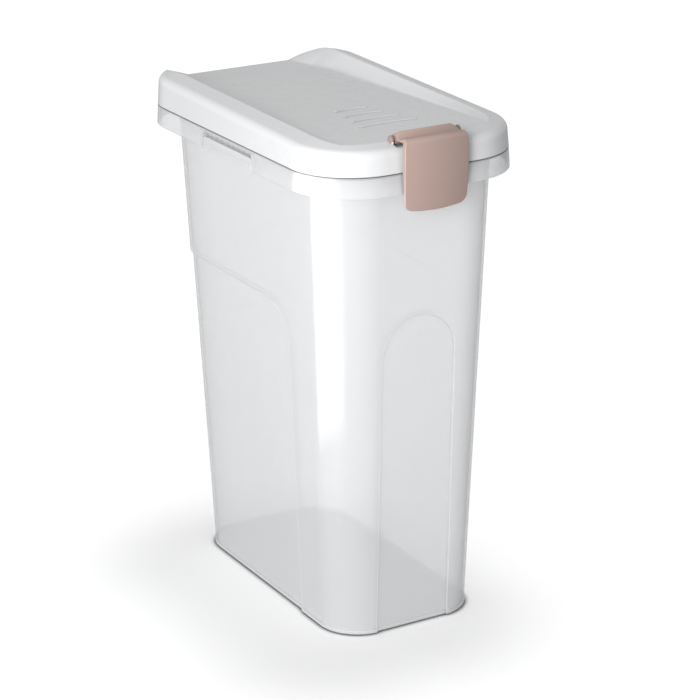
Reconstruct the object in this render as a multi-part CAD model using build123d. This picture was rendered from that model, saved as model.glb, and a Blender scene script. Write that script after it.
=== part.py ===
from build123d import *

import os
from math import atan, cos, degrees, hypot, radians, tan

os.makedirs("parts", exist_ok=True)

# A clear tub with a hinged milky lid, a snap latch at the front and a small grip bail on each long side.
# Frame: millimetres, +Z up, the front with the latch faces -Y, origin on the floor under the middle.

# Tub: a drafted body from the base to the mouth
tub_height = 400.0
base_width = 133.4
base_length = 256.6
base_corner = 35.6
mouth_width = 162.4
mouth_length = 292.4
mouth_corner = 42.0
tub_wall = 2.0
tub_floor = 2.4
bead_low = 1.0
bead_high = 3.6
bead_out = 0.9

# Sunken panels: one round both sides and the back, one with an arched top at the front
panel_depth = 2.0
side_panel_top = 272.0
side_panel_front = 61.0
side_panel_corner = 33.0
front_panel_width = 68.0
front_panel_top = 275.0

# Rim: a flange round the mouth, with a skirt that hangs from its edge and flares a little
rim_side_reach = 14.9
rim_end_reach = 15.8
rim_corner = 57.0
rim_rear_corner = 47.0
flange_thickness = 2.0
skirt_drop = 16.0
skirt_wall = 2.0
skirt_flare = 1.0

# Lid shell
rest_gap = 0.3
lid_side_inset = 1.1
lid_end_inset = 1.5
lid_corner = 55.0
lid_rear_corner = 45.0
lid_wall = 2.0
crest_height = 27.5
shoulder_height = 21.8
shoulder_inset = 1.6
shoulder_round = 7.5
roof_height = 27.0
roof_inset = 23.0
roof_pitch = 0.0168

# Sunken top of the lid: its floor rises from the back to the front, and its sides spread at the back.
# Each station is a place along the lid, the floor's lift there, and the half widths of floor and crest.
trough_stations = (
    (-151.0, 0.0, 67.0, 75.0),
    (112.0, 0.0, 66.5, 75.0),
    (138.0, 0.0, 61.0, 79.5),
    (166.0, 3.8, 46.0, 88.0),
)
trough_floor_height = 17.5
trough_pitch = 0.0366
trough_crest_drop = 0.9
trough_floor_round = 6.0
trough_crest_round = 3.0
finger_rib_lengths = (30.0, 36.0, 43.0, 52.0)
finger_rib_rear = 32.0
finger_rib_step = 19.5
finger_rib_bow = 2.5
finger_rib_width = 3.4
finger_rib_rise = 1.0
finger_rib_round = 0.8

# Plug under the lid and its seal ring
plug_gap = 2.0
plug_wall = 3.2
plug_reach = 13.0
seal_height = 3.6
seal_depth = 1.6
seal_gap = 0.4
seal_rise = 1.2
fit_gap = 0.05

# Lid hinge: two claws of the lid round two bars of the rim, and a tongue that stops the opened lid
hinge_axis_drop = 4.0
hinge_axis_inset = 1.5
hinge_bar_radius = 2.5
hinge_spacing = 52.0
hinge_claw_width = 18.0
hinge_claw_wall = 2.5
hinge_claw_mouth = 50.0
hinge_arm_wall = 3.0
hinge_arm_root = 2.4
hinge_side_gap = 1.0
hinge_cheek = 3.0
hinge_front_gap = 1.5
tongue_width = 22.0
tongue_wall = 2.0
tongue_gap = 0.6
tongue_drop = 1.0
running_gap = 0.1

# Latch
latch_width = 57.8
latch_drop = 59.2
latch_wall = 2.2
latch_gap = 2.4
latch_bulge = 1.0
latch_corner = 8.0
latch_shoulder = 8.0
latch_sag = 3.0
latch_tuck = 2.2
latch_brow = 4.0
latch_edge_round = 0.8
latch_side_depth = 0.3
latch_side_lean = 1.2
latch_axis_inset = 12.5
latch_axis_drop = 3.0
latch_lug_radius = 3.2
latch_lug_length = 1.6
latch_bar_radius = 2.2
latch_barrel_wall = 2.3
latch_barrel_mouth = 50.0
ridge_forward = 1.8
ridge_rise = 6.2
ridge_flat = 0.3
valley_run = 6.0
valley_rise = 1.0
valley_sag = 0.8
hook_gap = 0.4
hook_height = 3.2
hook_width = 44.0
pocket_side_gap = 0.6
pocket_rear_gap = 6.2

# Grip bails and their seats in the rim
bail_length = 85.0
bail_leg = 4.2
bail_bar = 6.0
bail_thick = 4.4
bail_round = 3.8
bail_top_gap = 4.6
bail_foot = 3.2
bail_pin_radius = 1.7
bail_pin_length = 4.0
bail_gap = 0.4
pivot_rise = 1.8
lug_length = 5.0
grip_rib_count = 8
grip_rib_wall = 1.5
grip_rib_height = 7.0

# Places that several pieces share
rim_width = mouth_width + 2 * rim_side_reach
rim_length = mouth_length + 2 * rim_end_reach
lid_width = rim_width - 2 * lid_side_inset
lid_length = rim_length - 2 * lid_end_inset
skirt_bottom = tub_height - skirt_drop
flange_under = tub_height - flange_thickness
lid_bottom = tub_height + rest_gap
crest_top = tub_height + crest_height
hinge_y = rim_length / 2 - hinge_axis_inset
hinge_z = tub_height - hinge_axis_drop
claw_radius = hinge_bar_radius + running_gap + hinge_claw_wall
latch_y = latch_axis_inset - lid_length / 2
latch_z = crest_top - latch_axis_drop
barrel_radius = latch_bar_radius + running_gap + latch_barrel_wall
bail_x = rim_width / 2 - bail_foot
pivot_z = skirt_bottom + pivot_rise


# Shared shapes
def plan(width, length, front_corner, rear_corner, z, grow=0.0):
    """Rounded rectangle at a height, grown or shrunk all round, with its own front and rear corners."""
    half = width / 2 + grow
    end = length / 2 + grow
    front = front_corner + grow
    rear = rear_corner + grow
    edges = Line((front - half, -end), (half - front, -end))
    edges += RadiusArc((half - front, -end), (half, front - end), -front)
    edges += Line((half, front - end), (half, end - rear))
    edges += RadiusArc((half, end - rear), (half - rear, end), -rear)
    edges += Line((half - rear, end), (rear - half, end))
    edges += RadiusArc((rear - half, end), (-half, end - rear), -rear)
    edges += Line((-half, end - rear), (-half, front - end))
    edges += RadiusArc((-half, front - end), (front - half, -end), -front)
    return Plane.XY.offset(z) * make_face(edges)


def block(x0, x1, y0, y1, z0, z1):
    """A box between two corners."""
    low = Align.MIN
    return Pos(x0, y0, z0) * Box(x1 - x0, y1 - y0, z1 - z0, align=(low, low, low))


def slab(low, high):
    """The space between two heights, wider than the bin."""
    return block(-rim_width, rim_width, -rim_length, rim_length, low, high)


def rod_x(radius, x0, x1, y, z):
    """A round bar along X."""
    bar = Cylinder(radius, x1 - x0, align=(Align.CENTER, Align.CENTER, Align.MIN))
    return Pos(x0, y, z) * Rot(0, 90, 0) * bar


def rod_y(radius, y0, y1, x, z):
    """A round bar along Y."""
    bar = Cylinder(radius, y1 - y0, align=(Align.CENTER, Align.CENTER, Align.MIN))
    return Pos(x, y0, z) * Rot(-90, 0, 0) * bar


def claw_cut(bar_radius, outer_radius, mouth_angle, x0, x1, y, z):
    """What is cut from a claw: its bore round the bar and the mouth that snaps over the bar from above."""
    bore = rod_x(bar_radius + running_gap, x0, x1, y, z)
    deep = 2 * outer_radius
    spread = deep * tan(radians(mouth_angle))
    wedge = make_face(Polyline((0, 0), (-spread, -deep), (spread, -deep), (0, 0)))
    return bore + Pos(x0, y, z) * extrude(Plane.YZ * wedge, amount=x1 - x0)


def both_sides(shapes):
    return shapes + [mirror(shape, about=Plane.YZ) for shape in shapes]


# Tub body
def tub_cone(inset):
    """The drafted body of the tub with no panels, shrunk by an inset."""
    low = plan(base_width, base_length, base_corner, base_corner, 0, -inset)
    high = plan(mouth_width, mouth_length, mouth_corner, mouth_corner, tub_height, -inset)
    return loft([low, high], ruled=True)


def side_panel_zone(grow):
    """Space over both long sides and the back where the wall is sunken."""
    low = -bead_high
    high = side_panel_top + grow
    front = -side_panel_front - grow
    corner = side_panel_corner + grow
    outline = Polyline((front + corner, high), (mouth_length, high), (mouth_length, low))
    outline += Polyline((mouth_length, low), (front, low), (front, high - corner))
    outline += RadiusArc((front, high - corner), (front + corner, high), corner)
    return extrude(Plane.YZ * make_face(outline), amount=mouth_width, both=True)


def front_panel_zone(grow):
    """Arch-topped space over the front wall where the wall is sunken."""
    half = front_panel_width / 2 + grow
    high = front_panel_top + grow
    spring = high - half
    outline = Polyline((-half, spring), (-half, -bead_high), (half, -bead_high), (half, spring))
    outline += ThreePointArc((half, spring), (0, high), (-half, spring))
    return extrude(Plane.XZ * make_face(outline), amount=mouth_length)


def tub_body(inset, panel_grow=0.0):
    """The tub's body with its sunken panels, shrunk by an inset, the panels' edges grown by a width."""
    sunk = tub_cone(inset + panel_depth)
    zones = side_panel_zone(panel_grow) + front_panel_zone(panel_grow)
    return tub_cone(inset) - (zones - sunk)


# Rim
def rim_plan(z, grow):
    flare = skirt_flare * (tub_height - z) / skirt_drop - skirt_flare
    return plan(rim_width, rim_length, rim_corner, rim_rear_corner, z, grow + flare)


def rim_block(grow):
    return loft([rim_plan(skirt_bottom, grow), rim_plan(tub_height, grow)], ruled=True)


def rim_ring():
    """The flange and its skirt, with a window for each bail."""
    ring = rim_block(0) - (rim_block(-skirt_wall) & slab(0, flange_under))
    half = bail_length / 2 + bail_gap
    depth = 2 * bail_foot + skirt_wall
    window = block(rim_width / 2 - depth, rim_width, -half, half, 0, flange_under)
    return ring - both_sides([window])


def bail_seat():
    """What carries one bail on the +X side: two lugs, two stop webs and the grip ribs."""
    wall_x = mouth_width / 2 - tub_wall
    stop_x = bail_x - bail_thick / 2 - bail_gap
    stop_z = pivot_z + bail_thick / 2 + bail_gap / 2
    inner = bail_length / 2 - bail_leg
    outer = bail_length / 2 + bail_gap
    seat = []
    for y in (-outer - lug_length, outer):
        seat.append(block(bail_x - bail_foot, bail_x + bail_foot, y, y + lug_length, pivot_z, flange_under))
        seat.append(rod_y(bail_foot, y, y + lug_length, bail_x, pivot_z))
    web = outer - inner - bail_gap
    for y in (-outer, outer - web):
        seat.append(block(wall_x, stop_x, y, y + web, stop_z, flange_under))
    pitch = 2 * inner / grip_rib_count
    for i in range(grip_rib_count):
        y = pitch * (i + 0.5) - inner - grip_rib_wall / 2
        seat.append(block(wall_x, stop_x, y, y + grip_rib_wall, flange_under - grip_rib_height, flange_under))
    return seat


def pin_holes():
    start = bail_length / 2 + bail_gap
    hole = rod_y(bail_pin_radius + running_gap, start, start + lug_length, bail_x, pivot_z)
    return both_sides([hole, mirror(hole, about=Plane.XZ)])


def hinge_seat():
    """For each claw, a cut through the rim, a cheek at each end of it and the bar across it."""
    cuts = []
    bars = []
    half = hinge_claw_width / 2 + hinge_side_gap
    cut_y = hinge_y - claw_radius - hinge_front_gap
    wall_y = mouth_length / 2 - tub_wall
    for centre in (-hinge_spacing / 2, hinge_spacing / 2):
        x0 = centre - half
        x1 = centre + half
        cuts.append(block(x0, x1, cut_y, rim_length, 0, tub_height + rest_gap))
        for edge in (x0 - hinge_cheek, x1):
            low = hinge_z - hinge_bar_radius
            bars.append(block(edge, edge + hinge_cheek, wall_y, hinge_y, low, flange_under))
        bars.append(rod_x(hinge_bar_radius, x0 - hinge_cheek, x1 + hinge_cheek, hinge_y, hinge_z))
    return cuts, bars


def make_tub():
    cuts, bars = hinge_seat()
    body = tub_body(0) + (tub_body(-bead_out) & slab(bead_low, bead_high))
    body = body + rim_ring() + both_sides(bail_seat())
    body = body - cuts + bars
    inside = tub_body(tub_wall, tub_wall) & slab(tub_floor, tub_height)
    return body - inside - pin_holes()


# Grip bail, on the +X side
def make_bail():
    """A low U: a bar between two legs, each with a pin that turns in the rim's lug."""
    half = bail_length / 2
    inner = half - bail_leg
    x0 = bail_x - bail_thick / 2
    x1 = x0 + bail_thick
    top = flange_under - bail_top_gap
    frame = block(x0, x1, -half, half, pivot_z - bail_foot, top)
    frame = fillet(frame.edges().filter_by(Axis.X).group_by(Axis.Z)[-1], bail_round)
    frame = frame - block(x0, x1, -inner, inner, pivot_z - bail_foot, top - bail_bar)
    reach = half + bail_gap + bail_pin_length
    pin = rod_y(bail_pin_radius, inner, reach, bail_x, pivot_z)
    return frame + pin + mirror(pin, about=Plane.XZ)


# Lid shell
def lid_plan(z, grow):
    return plan(lid_width, lid_length, lid_corner, lid_rear_corner, z, grow)


def lid_block(inset):
    """The lid's outer form before its trough, shrunk by an inset."""
    tilt = Rot(degrees(atan(roof_pitch)), 0, 0)
    low = lid_plan(lid_bottom, -inset)
    shoulder = Pos(0, 0, tub_height + shoulder_height - inset) * tilt * lid_plan(0, -inset - shoulder_inset)
    roof = Pos(0, 0, tub_height + roof_height - inset) * tilt * lid_plan(0, -inset - roof_inset)
    form = loft([low, shoulder, roof], ruled=True)
    base = tub_height + shoulder_height - inset

    def on_shoulder(edge):
        return abs(edge.center().Z - base - roof_pitch * edge.center().Y) < fit_gap

    return fillet(form.edges().filter_by(on_shoulder), shoulder_round - inset)


def floor_z(y):
    """Height of the trough's floor, before its lift at the back."""
    return tub_height + trough_floor_height - trough_pitch * y


def trough_section(station, grow):
    """The trough across the lid: a flat floor, a slope up to each crest and a ledge outside it."""
    y, lift, floor_half, crest_half = station
    low = floor_z(y) + lift
    crest = tub_height + roof_height + roof_pitch * y - trough_crest_drop
    run = crest_half - floor_half
    rise = crest - low
    spread = grow * (hypot(run, rise) - run) / rise
    high = crest + lid_wall + roof_height
    outline = Polyline(
        (-lid_width, high),
        (-lid_width, crest),
        (-crest_half - spread, crest),
        (-floor_half - spread, low),
        (floor_half + spread, low),
        (crest_half + spread, crest),
        (lid_width, crest),
        (lid_width, high),
        (-lid_width, high),
    )
    area = make_face(outline)
    inner = area.vertices().filter_by(lambda corner: abs(corner.X) < lid_width - fit_gap)
    area = fillet(inner.group_by(Axis.Y)[0], trough_floor_round + grow)
    inner = area.vertices().filter_by(lambda corner: abs(abs(corner.X) - crest_half - spread) < fit_gap)
    area = fillet(inner, trough_crest_round - grow)
    return Plane.XZ.offset(-y) * area


def trough(grow):
    """The sunken top, open at the back, with a floor that rises to the front."""
    sections = [trough_section(station, grow) for station in trough_stations]
    return Pos(0, 0, -grow) * loft(sections, ruled=True)


def latch_pocket(grow):
    """Where the latch's barrel sits in the lid's front edge."""
    half = latch_width / 2 + pocket_side_gap + grow
    rear = latch_y + pocket_rear_gap + grow
    low = latch_z - barrel_radius - rest_gap - grow
    return block(-half, half, -rim_length, rear, low, crest_top + barrel_radius)


def lid_form(inset):
    return lid_block(inset) - trough(inset) - latch_pocket(inset)


def finger_rib(index):
    """One low ridge across the lid, bowed so that its ends lie nearer the latch."""
    y = -finger_rib_rear - index * finger_rib_step
    half = finger_rib_lengths[index] / 2
    path = ThreePointArc((-half, y - finger_rib_bow), (0, y), (half, y - finger_rib_bow))
    root = floor_z(y) - lid_wall / 2
    ridge = Pos(0, 0, root) * extrude(trace(path, finger_rib_width), amount=lid_wall / 2 + finger_rib_rise)
    return fillet(ridge.edges().group_by(Axis.Z)[-1], finger_rib_round)


def latch_bar():
    """The bar that the latch turns on, with a lug on the lid at each end of it."""
    start = latch_width / 2 + pocket_side_gap
    end = start + latch_lug_length
    root = latch_z - barrel_radius - rest_gap - lid_wall
    lug = rod_x(latch_lug_radius, start, end, latch_y, latch_z)
    lug = lug + block(start, end, latch_y - latch_lug_radius, latch_y + latch_lug_radius, root, latch_z)
    return both_sides([lug]) + [rod_x(latch_bar_radius, -end, end, latch_y, latch_z)]


# Plug and seal
def mouth_ring(grow_out, grow_in, low, high):
    """A ring that follows the inside of the tub, measured where the plug ends."""
    share = 1 - plug_reach / tub_height
    width = base_width + (mouth_width - base_width) * share
    length = base_length + (mouth_length - base_length) * share
    corner = base_corner + (mouth_corner - base_corner) * share
    outer = plan(width, length, corner, corner, low, grow_out - tub_wall)
    inner = plan(width, length, corner, corner, low, grow_in - tub_wall)
    return extrude(outer - inner, amount=high - low)


plug_bottom = tub_height - plug_reach
seal_low = plug_bottom + seal_rise


def make_seal():
    return mouth_ring(-seal_gap, -plug_gap - seal_depth, seal_low, seal_low + seal_height)


def seal_groove():
    low = seal_low - fit_gap
    return mouth_ring(0, -plug_gap - seal_depth - fit_gap, low, low + seal_height + 2 * fit_gap)


# Lid hinge
def hinge_claw(centre):
    """A C-shaped claw round one hinge bar, on an arm that hangs from the lid's back wall."""
    x0 = centre - hinge_claw_width / 2
    x1 = centre + hinge_claw_width / 2
    arm = hinge_arm_wall / 2
    claw = rod_x(claw_radius, x0, x1, hinge_y, hinge_z)
    claw = claw + block(x0, x1, hinge_y - arm, hinge_y + arm, hinge_z, lid_bottom + hinge_arm_root)
    return claw - claw_cut(hinge_bar_radius, claw_radius, hinge_claw_mouth, x0, x1, hinge_y, hinge_z)


def stop_tongue():
    """The tongue behind the rim that stops the opened lid."""
    half = tongue_width / 2
    y0 = rim_length / 2 + tongue_gap
    y1 = y0 + tongue_wall
    high = lid_bottom + hinge_arm_root
    shelf = block(-half, half, lid_length / 2 - lid_wall, y1, lid_bottom, high)
    return shelf + block(-half, half, y0, y1, lid_bottom - tongue_drop, high)


def make_lid():
    solid = lid_form(0)
    shell = solid - (lid_form(lid_wall) & slab(0, crest_top))
    plug = mouth_ring(-plug_gap, -plug_gap - plug_wall, plug_bottom, crest_top)
    shell = shell + (plug & solid) + (plug & slab(0, lid_bottom)) - seal_groove()
    shell = shell + latch_bar() + [finger_rib(i) for i in range(len(finger_rib_lengths))]
    return shell + [hinge_claw(-hinge_spacing / 2), hinge_claw(hinge_spacing / 2), stop_tongue()]


# Latch, in its rest place just before it snaps home
latch_face = -(rim_length / 2 + latch_gap + latch_wall)
latch_low = crest_top - latch_drop
brow_z = crest_top - latch_brow
ridge_y = latch_y - ridge_forward
ridge_z = latch_z + ridge_rise
valley_y = ridge_y - valley_run
valley_z = latch_z + valley_rise


def face_arc(y, low, high):
    """The bowed face of the latch, which tucks in at its foot."""
    return ThreePointArc((y + latch_tuck, low), (y, (low + high) / 2), (y, high))


def latch_side_area():
    """The latch seen from the side, filled in behind its face."""
    back = latch_face + latch_wall + latch_side_depth
    ease = latch_brow * (1 - cos(radians(45)))
    slope = barrel_radius * cos(radians(45))
    middle = ((valley_y + ridge_y) / 2 + valley_sag, (valley_z + ridge_z) / 2)
    low = latch_low - latch_wall
    outline = face_arc(latch_face, low, brow_z)
    outline += ThreePointArc(
        (latch_face, brow_z), (latch_face + ease, crest_top - ease), (latch_face + latch_brow, crest_top)
    )
    outline += Line((latch_face + latch_brow, crest_top), (valley_y, valley_z))
    outline += ThreePointArc((valley_y, valley_z), middle, (ridge_y, ridge_z))
    outline += Polyline(
        (ridge_y, ridge_z),
        (latch_y + slope, latch_z + slope),
        (latch_y, latch_z),
        (back + latch_side_lean, latch_z),
        (back, low),
        (latch_face + latch_tuck, low),
    )
    return Plane.YZ * make_face(outline)


def latch_hollow_area():
    """The space behind the latch's face and under its web, seen from the side."""
    inside = latch_face + latch_wall
    web = valley_z - latch_wall
    low = latch_low - latch_wall
    high = web - latch_wall / 2
    outline = face_arc(inside, low, high)
    outline += Polyline((inside, high), (inside + latch_wall, web), (latch_y, web), (latch_y, low))
    outline += Line((latch_y, low), (inside + latch_tuck, low))
    return Plane.YZ * make_face(outline)


def latch_front_area():
    """The latch seen from the front, with a round foot, bulged sides and rounded shoulders."""
    side = latch_width / 2 - latch_bulge
    foot = latch_low + latch_sag
    high = ridge_z - ridge_flat
    middle = (foot + high) / 2
    outline = ThreePointArc((-side, foot), (0, latch_low), (side, foot))
    outline += ThreePointArc((side, foot), (latch_width / 2, middle), (side, high))
    outline += Line((side, high), (-side, high))
    outline += ThreePointArc((-side, high), (-latch_width / 2, middle), (-side, foot))
    area = make_face(outline)
    area = fillet(area.vertices().group_by(Axis.Y)[0], latch_corner)
    area = fillet(area.vertices().group_by(Axis.Y)[-1], latch_shoulder)
    return Plane.XZ * area


def shown_from_front(face):
    """Whether a face of the latch belongs to its front, its brow or the slope behind the brow."""
    normal = face.normal_at()
    turned = abs(normal.X) < 0.5 and normal.Y < 0.5 and normal.Z > -0.5
    return turned and face.center().Y < valley_y


def latch_outline(form):
    """The edges where the latch's front, brow and slope turn over to its sides and foot."""
    edges = [edge for face in form.faces().filter_by(shown_from_front) for edge in face.edges()]
    outer = [edge for edge in edges if sum(edge.is_same(other) for other in edges) == 1]
    return [edge for edge in outer if edge.center().Y < valley_y - latch_edge_round]


def make_latch():
    """A thin-walled cap with a barrel that snaps on the lid's bar and a hook that goes under the rim."""
    half = latch_width / 2
    barrel = rod_x(barrel_radius, -half, half, latch_y, latch_z)
    filled = extrude(latch_side_area(), amount=half, both=True) + barrel
    filled = filled & extrude(latch_front_area(), amount=rim_length)
    filled = fillet(latch_outline(filled), latch_edge_round)
    hollow = extrude(latch_hollow_area(), amount=half - latch_bulge - latch_wall, both=True)
    hook_y = -rim_length / 2 - hook_gap
    hook_z = skirt_bottom - rest_gap
    hook_root = latch_face + latch_wall / 2
    hook = block(-hook_width / 2, hook_width / 2, hook_root, hook_y, hook_z - hook_height, hook_z)
    cut = claw_cut(latch_bar_radius, barrel_radius, latch_barrel_mouth, -half, half, latch_y, latch_z)
    return filled - (hollow - barrel) + hook - cut


bail_right = make_bail()
pieces = {
    "tub": make_tub(),
    "lid": make_lid(),
    "lid_seal": make_seal(),
    "latch": make_latch(),
    "bail_right": bail_right,
    "bail_left": mirror(bail_right, about=Plane.YZ),
}
for name, shape in pieces.items():
    print(name, round(shape.volume), "mm3,", len(shape.solids()), "solid")
    export_step(shape, f"parts/{name}.step")
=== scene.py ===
from math import cos, radians, sin

import bpy
from mathutils import Matrix, Vector

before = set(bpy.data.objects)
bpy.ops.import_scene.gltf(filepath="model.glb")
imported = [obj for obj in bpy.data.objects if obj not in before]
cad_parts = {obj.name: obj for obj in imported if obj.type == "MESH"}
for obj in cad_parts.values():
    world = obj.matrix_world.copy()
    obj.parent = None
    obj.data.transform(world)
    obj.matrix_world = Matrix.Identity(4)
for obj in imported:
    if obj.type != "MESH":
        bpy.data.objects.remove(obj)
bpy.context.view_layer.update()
scene = bpy.context.scene
scene.view_settings.view_transform = "Standard"
print("frame loaded:", ", ".join(sorted(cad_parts)))


def rgba(red, green, blue):
    return (red, green, blue, 1.0)


class Signal:
    # one output of a shader tree that can be used in plain sums
    def __init__(self, finish, socket):
        self.finish = finish
        self.socket = socket

    def math(self, operation, first, second):
        return self.finish.node("ShaderNodeMath", {"operation": operation}, {0: first, 1: second})

    def __add__(self, other):
        return self.math("ADD", self, other)

    def __radd__(self, other):
        return self.math("ADD", other, self)

    def __sub__(self, other):
        return self.math("SUBTRACT", self, other)

    def __rsub__(self, other):
        return self.math("SUBTRACT", other, self)

    def __mul__(self, other):
        return self.math("MULTIPLY", self, other)

    def __rmul__(self, other):
        return self.math("MULTIPLY", other, self)

    def __pow__(self, other):
        return self.math("POWER", self, other)


# how the masks that all the finishes share are cut
masks = {
    "edgeSamples": 4,
    "edgeFrom": 0.99,        # how far the rounded and the flat normal agree where an edge begins
    "edgeTo": 0.82,
    "gapSamples": 6,
    "gapFrom": 0.85,         # how open a spot is where the painted shade in a gap begins
    "gapTo": 0.25,
    "levelFrom": 0.75,       # squared rise of a normal: from here up a face is level
    "levelTo": 0.25,
}


class Finish:
    # the nodes of one material or world, all made by one method
    def __init__(self, owner):
        owner.use_nodes = True
        self.owner = owner
        self.tree = owner.node_tree
        self.tree.nodes.clear()

    def node(self, kind, settings=None, inputs=None, output=0):
        made = self.tree.nodes.new(kind)
        for key, value in (settings or {}).items():
            setattr(made, key, value)
        for key, value in (inputs or {}).items():
            if isinstance(value, Signal):
                self.tree.links.new(value.socket, made.inputs[key])
            else:
                made.inputs[key].default_value = value
        return Signal(self, made.outputs[output]) if made.outputs else None

    def vector(self, operation, first, second=(0, 0, 0), output=0):
        return self.node("ShaderNodeVectorMath", {"operation": operation}, {0: first, 1: second}, output)

    def ray(self, question):
        return self.node("ShaderNodeLightPath", output=question)

    def place(self):
        # where a point lies on the object, in metres; it stays with a piece that moves
        return self.node("ShaderNodeTexCoord", output="Object")

    def along(self, axis):
        return self.node("ShaderNodeSeparateXYZ", inputs={0: self.place()}, output=axis)

    def upright(self):
        # 1 on the piece's upright faces, 0 on its level ones
        facing = self.node("ShaderNodeTexCoord", output="Normal")
        rise = self.node("ShaderNodeSeparateXYZ", inputs={0: facing}, output="Z")
        return self.ramp(rise * rise, masks["levelFrom"], masks["levelTo"])

    def noise(self, scale, detail=2.0, stretch=(1, 1, 1)):
        where = self.vector("MULTIPLY", self.place(), stretch)
        return self.node("ShaderNodeTexNoise", inputs={"Vector": where, "Scale": scale, "Detail": detail})

    def ramp(self, value, low, high):
        # 0 at low and 1 at high, whichever of the two is larger
        limits = {"Value": value, "From Min": low, "From Max": high}
        return self.node("ShaderNodeMapRange", {"interpolation_type": "SMOOTHSTEP"}, limits)

    def blend(self, factor, first, second):
        return self.node("ShaderNodeMix", {"data_type": "RGBA"}, {0: factor, 6: first, 7: second}, output=2)

    def bump(self, height, distance, normal=None):
        inputs = {"Height": height, "Distance": distance}
        if normal:
            inputs["Normal"] = normal
        return self.node("ShaderNodeBump", inputs=inputs)

    def rounded(self, width, samples):
        # the normal that the piece would have with its edges rounded off
        return self.node("ShaderNodeBevel", {"samples": samples}, {"Radius": width})

    def edges(self, width):
        # 1 along the piece's edges and 0 on its open faces
        flat = self.node("ShaderNodeNewGeometry", output="Normal")
        same = self.vector("DOT_PRODUCT", self.rounded(width, masks["edgeSamples"]), flat, "Value")
        return self.ramp(same, masks["edgeFrom"], masks["edgeTo"])

    def crevices(self, reach, deep=masks["gapTo"]):
        # 1 deep in a gap or a corner and 0 in the open
        settings = {"samples": masks["gapSamples"], "only_local": False}
        openness = self.node("ShaderNodeAmbientOcclusion", settings, {"Distance": reach}, "AO")
        outer = 1 - self.node("ShaderNodeNewGeometry", output="Backfacing")
        return self.ramp(openness, masks["gapFrom"], deep) * outer

    def firstFace(self):
        # 1 on the face that is met first, 0 on the faces seen through it
        return self.ramp(self.ray("Transparent Depth"), 0.6, 0.4)

    def grazing(self, blend):
        # 0 where a wall is seen square on, 1 where it is seen edge on
        return self.node("ShaderNodeLayerWeight", inputs={"Blend": blend}, output="Facing")

    def plastic(self, inputs):
        # a Principled shader with the gloss of a plastic
        return self.end(self.node("ShaderNodeBsdfPrincipled", inputs={**inputs, "IOR": 1.49}))

    def end(self, shader, kind="ShaderNodeOutputMaterial"):
        self.node(kind, inputs={"Surface": shader})
        return self.owner


def newFinish(name):
    return Finish(bpy.data.materials.new(name))


def dress(names, material):
    for name in names:
        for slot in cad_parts[name].material_slots:
            slot.material = material


# clear frosted wall of the tub, also used for the two bails
clearWall = {
    "tint": rgba(0.92, 0.927, 0.94),
    "cloudTint": rgba(0.88, 0.89, 0.905),
    "rimTint": rgba(0.86, 0.868, 0.885),
    # painted highlight: edges are blended toward this near white
    "edgeHighlightTint": rgba(0.98, 0.985, 0.99),
    "edgeHighlighting": 0.8,
    # painted shade in gaps, in corners and along the lid's seam
    "gapShadeTint": rgba(0.30, 0.31, 0.33),
    "gapReach": 0.005,
    "seamShadeFrom": 0.3994,      # painted shade: a dark line where the lid meets the rim
    "seamShadeBlur": 0.0003,
    "veil": 0.31,            # how much of the light one face of the wall stops
    "veilChange": 0.08,      # slow change of that down the wall
    "edgeVeil": 0.30,        # thick edges look whiter than the wall
    "slantVeil": 0.30,       # so does a wall seen at a slant
    "slantPower": 3.0,
    "gapVeil": 0.45,         # and a gap hides what lies behind it
    "rimVeil": 0.20,         # the rim is hazier too, from its skirt's lower edge up
    "rimFrom": 0.3835,
    "rimBlur": 0.001,
    "footVeil": 0.40,        # and so is the bead that the bin stands on
    "footTo": 0.0040,
    "footBlur": 0.0005,
    "farEdge": 0.2,          # how strong an edge is when seen through a wall
    "nearEdge": 0.5,         # what it gains on the first wall met
    "footEdge": 0.3,         # and at the foot
    "passes": 0.45,          # share of the veil that light on its way in passes all the same
    "edgeWidth": 0.0009,
    "roughness": 0.07,
    "grainRough": 0.02,
    "flowRough": 0.03,
    "scuffRough": 0.08,
    "edgeRough": 0.1,
    "flowScale": 7.0,
    "rippleScale": 20.0,     # the wall isn't dead flat
    "rippleDepth": 0.00005,
    "grainScale": 1500.0,
    "grainDepth": 0.000003,
    "scuffScale": 260.0,
    "scuffFrom": 0.62,
    "scuffTo": 0.72,
    "scuffDepth": 0.000005,
}
tubWall = {"moreVeil": 0.0, "gapShare": 0.7}
bailWall = {"moreVeil": 0.15, "gapShare": 1.0}


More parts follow.
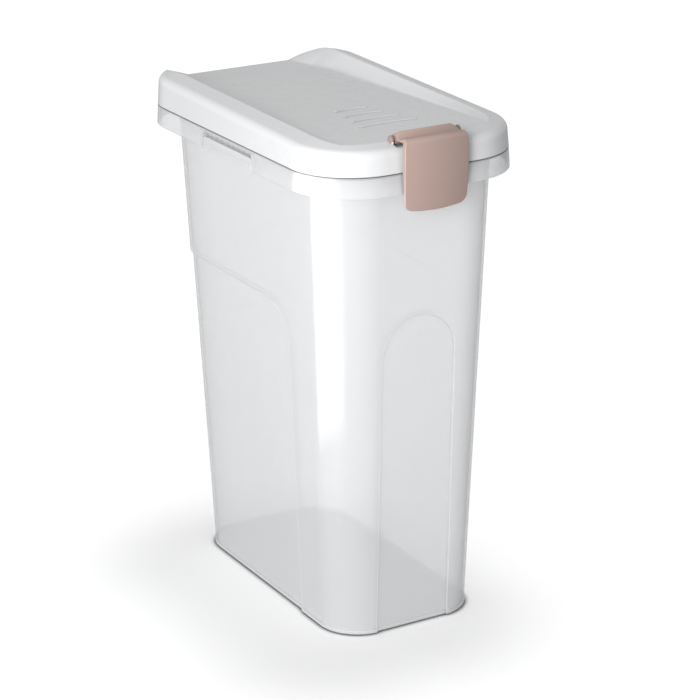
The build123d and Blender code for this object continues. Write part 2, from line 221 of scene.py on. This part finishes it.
def clearPlastic(name, own):
    wall = clearWall
    finish = newFinish(name)
    flow = finish.noise(wall["flowScale"], 3.0, stretch=(1, 1, 0.35))
    ripple = finish.noise(wall["rippleScale"], 1.0, stretch=(1, 1, 0.5))
    grain = finish.noise(wall["grainScale"])
    scratches = finish.noise(wall["scuffScale"], 3.0, stretch=(0.12, 1, 1))
    scuff = finish.ramp(scratches, wall["scuffFrom"], wall["scuffTo"])

    near = finish.firstFace()
    height = finish.along("Z")
    foot = finish.ramp(height, wall["footTo"], wall["footTo"] - wall["footBlur"])
    rim = finish.ramp(height, wall["rimFrom"], wall["rimFrom"] + wall["rimBlur"])
    # painted shade: a dark seam line on upright faces, and darkening in gaps and corners
    seamShade = finish.ramp(height, wall["seamShadeFrom"], wall["seamShadeFrom"] + wall["seamShadeBlur"]) * finish.upright()
    gapShade = (finish.crevices(wall["gapReach"]) + seamShade) * near
    seenEdge = wall["farEdge"] + near * wall["nearEdge"] + foot * wall["footEdge"]
    edge = finish.edges(wall["edgeWidth"]) * seenEdge
    slant = finish.grazing(0.5) ** wall["slantPower"]

    colour = finish.blend(flow, wall["cloudTint"], wall["tint"])
    colour = finish.blend(rim, colour, wall["rimTint"])
    # painted highlight along the edges
    colour = finish.blend(edge * wall["edgeHighlighting"], colour, wall["edgeHighlightTint"])
    # painted shade in gaps, in corners and along the seam
    colour = finish.blend(gapShade * own["gapShare"], colour, wall["gapShadeTint"])

    haze = wall["veil"] + own["moreVeil"] + (flow - 0.5) * wall["veilChange"]
    haze = haze + edge * wall["edgeVeil"] + slant * wall["slantVeil"]
    haze = haze + gapShade * (own["gapShare"] * wall["gapVeil"])
    haze = haze + rim * wall["rimVeil"] + foot * wall["footVeil"]
    onItsWay = finish.ray("Is Shadow Ray") + finish.ray("Is Diffuse Ray")
    haze = haze * (1 - onItsWay * wall["passes"])

    rough = wall["roughness"] + (grain - 0.5) * wall["grainRough"] + (flow - 0.5) * wall["flowRough"]
    rough = rough + scuff * wall["scuffRough"] + edge * wall["edgeRough"]
    relief = finish.bump(ripple, wall["rippleDepth"])
    relief = finish.bump(scuff, wall["scuffDepth"], relief)
    relief = finish.bump(grain, wall["grainDepth"], relief)
    return finish.plastic({"Base Color": colour, "Roughness": rough, "Alpha": haze, "Normal": relief})


dress(["tub"], clearPlastic("clearWall", tubWall))
dress(["bail_left", "bail_right"], clearPlastic("clearBail", bailWall))
print("tub and bails dressed")

# milky lid
milkyLid = {
    "tint": rgba(0.88, 0.89, 0.90),
    "cloudTint": rgba(0.85, 0.86, 0.875),
    "cloudScale": 9.0,
    # painted highlight along the edges
    "edgeHighlightTint": rgba(0.95, 0.955, 0.96),
    "edgeHighlighting": 0.2,
    "edgeWidth": 0.0007,
    "softEdge": 0.0016,      # small ribs look rounded off
    "softSamples": 6,
    # painted shade in gaps and corners
    "gapShadeTint": rgba(0.20, 0.205, 0.215),
    "gapShadeAmount": 0.85,
    "gapReach": 0.0035,
    "seamShadeTo": 0.4010,        # painted shade: a dark line along the lid's lower edge
    "seamShadeFrom": 0.3995,
    "seamShadeBlur": 0.0003,
    "roughness": 0.27,
    "cloudRough": 0.08,
    "grainRough": 0.05,
    "wearRough": 0.02,
    "wearScale": 60.0,
    "grainScale": 1900.0,
    "grainDepth": 0.000004,
}

# painted shade round the latch's bar and its end lugs on the lid, in the latch's colour
lugShade = {"tint": rgba(0.42, 0.30, 0.265), "radius": 0.0035, "end": 0.0312, "y": -0.148, "z": 0.4245}


def lugShadeMask(finish):
    # 1 close round the latch's bar, out to its ends
    forward = finish.along("Y") - lugShade["y"]
    upward = finish.along("Z") - lugShade["z"]
    across = finish.along("X")
    roundBar = lugShade["radius"] ** 2
    ends = lugShade["end"] ** 2
    near = finish.ramp(forward * forward + upward * upward, roundBar, roundBar * 0.9)
    return near * finish.ramp(across * across, ends * 1.01, ends)


def milkyPlastic():
    lid = milkyLid
    finish = newFinish("milkyLid")
    cloud = finish.noise(lid["cloudScale"], 3.0)
    grain = finish.noise(lid["grainScale"])
    wear = finish.noise(lid["wearScale"], 4.0, stretch=(1, 0.4, 1))
    edge = finish.edges(lid["edgeWidth"])
    height = finish.along("Z")
    # painted shade: a dark line along the lid's lower edge, on upright faces only
    seamShade = finish.ramp(height, lid["seamShadeTo"], lid["seamShadeTo"] - lid["seamShadeBlur"])
    seamShade = seamShade * finish.ramp(height, lid["seamShadeFrom"], lid["seamShadeFrom"] + lid["seamShadeBlur"]) * finish.upright()
    gapShade = finish.crevices(lid["gapReach"]) + seamShade

    colour = finish.blend(cloud, lid["cloudTint"], lid["tint"])
    # painted highlight along the edges
    colour = finish.blend(edge * lid["edgeHighlighting"], colour, lid["edgeHighlightTint"])
    # painted shade in gaps, in corners and along the seam
    colour = finish.blend(gapShade * lid["gapShadeAmount"], colour, lid["gapShadeTint"])
    # painted shade round the latch's bar, in the latch's colour
    colour = finish.blend(lugShadeMask(finish), colour, lugShade["tint"])

    rough = lid["roughness"] + (cloud - 0.5) * lid["cloudRough"]
    rough = rough + (grain - 0.5) * lid["grainRough"] + (wear - 0.5) * lid["wearRough"]
    relief = finish.bump(grain, lid["grainDepth"], finish.rounded(lid["softEdge"], lid["softSamples"]))
    return finish.plastic({"Base Color": colour, "Roughness": rough, "Normal": relief})


dress(["lid"], milkyPlastic())
print("lid dressed")

# soft white seal
softSeal = {
    "tint": rgba(0.82, 0.82, 0.80),
    "cloudTint": rgba(0.78, 0.78, 0.76),
    "roughness": 0.6,
    "grainRough": 0.1,
    "grainScale": 900.0,
    "grainDepth": 0.00001,
}


def sealRubber():
    finish = newFinish("softSeal")
    grain = finish.noise(softSeal["grainScale"])
    shader = finish.node("ShaderNodeBsdfPrincipled", inputs={
        "Base Color": finish.blend(grain, softSeal["cloudTint"], softSeal["tint"]),
        "Roughness": softSeal["roughness"] + (grain - 0.5) * softSeal["grainRough"],
        "Normal": finish.bump(grain, softSeal["grainDepth"]),
    })
    return finish.end(shader)


dress(["lid_seal"], sealRubber())

# satin taupe latch
taupeLatch = {
    "tint": rgba(0.53, 0.385, 0.34),
    "cloudTint": rgba(0.505, 0.365, 0.325),
    "cloudScale": 30.0,
    # painted highlight along the edges
    "edgeHighlightTint": rgba(0.66, 0.52, 0.46),
    "edgeHighlighting": 0.6,
    "edgeWidth": 0.0006,
    # painted shade in gaps and corners
    "gapShadeTint": rgba(0.10, 0.07, 0.06),
    "gapShadeAmount": 0.8,
    "gapReach": 0.008,
    "bow": 4.6,              # the face is bowed from side to side: height lost per metre squared
    "roughness": 0.34,
    "grainRough": 0.08,
    "cloudRough": 0.05,
    "grainScale": 2200.0,
    "grainDepth": 0.000008,
}


def satinPlastic():
    latch = taupeLatch
    finish = newFinish("taupeLatch")
    cloud = finish.noise(latch["cloudScale"])
    grain = finish.noise(latch["grainScale"])
    edge = finish.edges(latch["edgeWidth"])
    gapShade = finish.crevices(latch["gapReach"])

    colour = finish.blend(cloud, latch["cloudTint"], latch["tint"])
    # painted highlight along the edges
    colour = finish.blend(edge * latch["edgeHighlighting"], colour, latch["edgeHighlightTint"])
    # painted shade in gaps and corners
    colour = finish.blend(gapShade * latch["gapShadeAmount"], colour, latch["gapShadeTint"])

    rough = latch["roughness"] + (grain - 0.5) * latch["grainRough"] + (cloud - 0.5) * latch["cloudRough"]
    across = finish.along("X")
    bowed = finish.bump(1 - across * across * latch["bow"], 1.0)
    relief = finish.bump(grain, latch["grainDepth"], bowed)
    return finish.plastic({"Base Color": colour, "Roughness": rough, "Normal": relief})


dress(["latch"], satinPlastic())
print("seal and latch dressed")

# pale floor that the bin stands on
paleFloor = {
    "size": 14.0,
    "drop": 0.0003,
    "tint": 0.85,
    "shownTint": 2.55,                   # the camera sees it white
    "grainScale": 40.0,
    "grainTinting": 0.02,
    "footprint": (0.0311, 0.0927, 0),    # half width and half length of the base without its round corners
    "footCorner": 0.0356,
    "outerFrom": -0.006,                 # the painted shade and the painted contact shadow begin just inside the outline
    "outerTo": -0.002,
    "shade": 0.25,                       # soft shade near the bin, how far it reaches and how it fades
    "shadeShift": (-0.045, -0.03, 0),
    "shadeReach": 0.16,
    "shadePower": 1.5,
    "contactShadow": 0.80,                     # painted contact shadow: a thin dark line where the bin stands
    "contactShadowReach": 0.007,
    "contactShadowDeep": 0.5,
}


def fromBase(finish, shift):
    # how far a point of the floor lies from the outline of the bin's base, moved by a shift
    folded = finish.vector("ABSOLUTE", finish.vector("SUBTRACT", finish.place(), shift))
    outside = finish.vector("MAXIMUM", finish.vector("SUBTRACT", folded, paleFloor["footprint"]))
    return finish.vector("LENGTH", outside, output="Value") - paleFloor["footCorner"]


def floorPaint():
    ground = paleFloor
    finish = newFinish("paleFloor")
    grain = finish.noise(ground["grainScale"])
    # the bin's own shadow is enough inside the outline
    outer = finish.ramp(fromBase(finish, (0, 0, 0)), ground["outerFrom"], ground["outerTo"])
    away = fromBase(finish, ground["shadeShift"])
    shade = finish.ramp(away, ground["shadeReach"], 0.0) ** ground["shadePower"]
    # painted contact shadow at the bin's foot
    contactShadow = finish.crevices(ground["contactShadowReach"], ground["contactShadowDeep"])
    shown = ground["shownTint"] + (grain - 0.5) * ground["grainTinting"]
    # the painted shade and the painted contact shadow darken the floor as the camera sees it
    shown = shown * (1 - shade * outer * ground["shade"]) * (1 - contactShadow * outer * ground["contactShadow"])
    level = ground["tint"] + finish.ray("Is Camera Ray") * (shown - ground["tint"])
    colour = finish.node("ShaderNodeCombineColor", inputs={0: level, 1: level, 2: level})
    return finish.end(finish.node("ShaderNodeBsdfDiffuse", inputs={"Color": colour}))


def staged(name, points, faces, material):
    # a mesh of the studio that isn't part of the bin
    mesh = bpy.data.meshes.new(name)
    mesh.from_pydata(points, [], faces)
    mesh.materials.append(material)
    made = bpy.data.objects.new(name, mesh)
    scene.collection.objects.link(made)
    return made


def makeFloor():
    half = paleFloor["size"] / 2
    low = -paleFloor["drop"]
    corners = [(-half, -half, low), (half, -half, low), (half, half, low), (-half, half, low)]
    return staged("floor", corners, [(0, 1, 2, 3)], floorPaint())


floor = makeFloor()

# studio light: an even sky, a large softbox at the front left and a curved panel that only gloss shows
studio = {
    "sky": 0.41,
    "glossSky": 0.75,
    "seenSky": 1.0,
    "keyEnergy": 14.0,
    "keySize": 0.7,
    "keyPlace": (-0.98, -0.80, 0.62),
    "keyAim": (0.0, -0.05, 0.25),
}


def makeWorld():
    scene.world = bpy.data.worlds.new("studio")
    finish = Finish(scene.world)

    def sky(level):
        inputs = {"Color": rgba(1, 1, 1), "Strength": studio[level]}
        return finish.node("ShaderNodeBackground", inputs=inputs)

    gloss = finish.ray("Is Glossy Ray")
    camera = finish.ray("Is Camera Ray")
    lit = finish.node("ShaderNodeMixShader", inputs={0: gloss, 1: sky("sky"), 2: sky("glossSky")})
    shown = finish.node("ShaderNodeMixShader", inputs={0: camera, 1: lit, 2: sky("seenSky")})
    finish.end(shown, "ShaderNodeOutputWorld")


def makeKey():
    lamp = bpy.data.lights.new("key", "AREA")
    lamp.energy = studio["keyEnergy"]
    lamp.size = studio["keySize"]
    key = bpy.data.objects.new("key", lamp)
    scene.collection.objects.link(key)
    key.location = studio["keyPlace"]
    away = Vector(studio["keyPlace"]) - Vector(studio["keyAim"])
    key.rotation_euler = away.to_track_quat("Z", "Y").to_euler()
    passed = bpy.data.collections.new("notLitByKey")       # the floor takes only the sky's soft shadow
    passed.objects.link(floor)
    key.light_linking.receiver_collection = passed
    passed.collection_objects[0].light_linking.link_state = "EXCLUDE"


stripPanel = {
    "centre": (-0.06, -0.11),   # the bin's front left corner
    "radius": 0.33,
    "from": 136,                # degrees round the corner, from +X
    "to": 226,
    "softTo": 204,              # the panel fades from here to its end
    "low": 0.0,
    "high": 0.36,
    "softFoot": 0.05,
    "columns": 30,
    "strength": 9.0,
}


def panelPoint(degrees):
    angle = radians(degrees)
    x = stripPanel["centre"][0] + stripPanel["radius"] * cos(angle)
    y = stripPanel["centre"][1] + stripPanel["radius"] * sin(angle)
    return x, y


def panelGlow():
    finish = newFinish("panelGlow")
    softEnd = panelPoint(stripPanel["softTo"])[1]
    end = panelPoint(stripPanel["to"])[1]
    aside = finish.ramp(finish.along("Y"), end, softEnd)
    shown = aside * finish.ramp(finish.along("Z"), 0.0, stripPanel["softFoot"])
    glow = finish.node("ShaderNodeEmission", inputs={"Strength": stripPanel["strength"]})
    clear = finish.node("ShaderNodeBsdfTransparent")
    return finish.end(finish.node("ShaderNodeMixShader", inputs={0: 1 - shown, 1: glow, 2: clear}))


def makePanel():
    count = stripPanel["columns"]
    step = (stripPanel["to"] - stripPanel["from"]) / count
    points = []
    for index in range(count + 1):
        x, y = panelPoint(stripPanel["from"] + index * step)
        points += [(x, y, stripPanel["low"]), (x, y, stripPanel["high"])]
    faces = [(2 * i, 2 * i + 2, 2 * i + 3, 2 * i + 1) for i in range(count)]
    panel = staged("stripPanel", points, faces, panelGlow())
    panel.visible_camera = False
    panel.visible_diffuse = False
    panel.visible_shadow = False


makeWorld()
makeKey()
makePanel()
print("floor and lights made")

# camera at the photograph's place
view = {
    "azimuth": -29.87,
    "elevation": 19.78,
    "roll": -0.59,
    "place": (-1.01660, -1.79938, 0.94545),
    "lens": 133.57,
    "sensor": 36.0,
    "nearClip": 0.05,
    "farClip": 50.0,
}


def makeCamera():
    azimuth, elevation, roll = (radians(view[key]) for key in ("azimuth", "elevation", "roll"))
    back = Vector((sin(azimuth) * cos(elevation), -cos(azimuth) * cos(elevation), sin(elevation)))
    right = Vector((cos(azimuth), sin(azimuth), 0))
    up = back.cross(right)
    turnedRight = right * cos(roll) + up * sin(roll)
    turnedUp = up * cos(roll) - right * sin(roll)
    lens = bpy.data.cameras.new("camera")
    lens.lens = view["lens"]
    lens.sensor_width = view["sensor"]
    lens.clip_start = view["nearClip"]
    lens.clip_end = view["farClip"]
    camera = bpy.data.objects.new("camera", lens)
    scene.collection.objects.link(camera)
    turn = Matrix((turnedRight, turnedUp, back)).transposed().to_4x4()
    camera.matrix_world = Matrix.Translation(view["place"]) @ turn
    scene.camera = camera


makeCamera()
print("camera set")
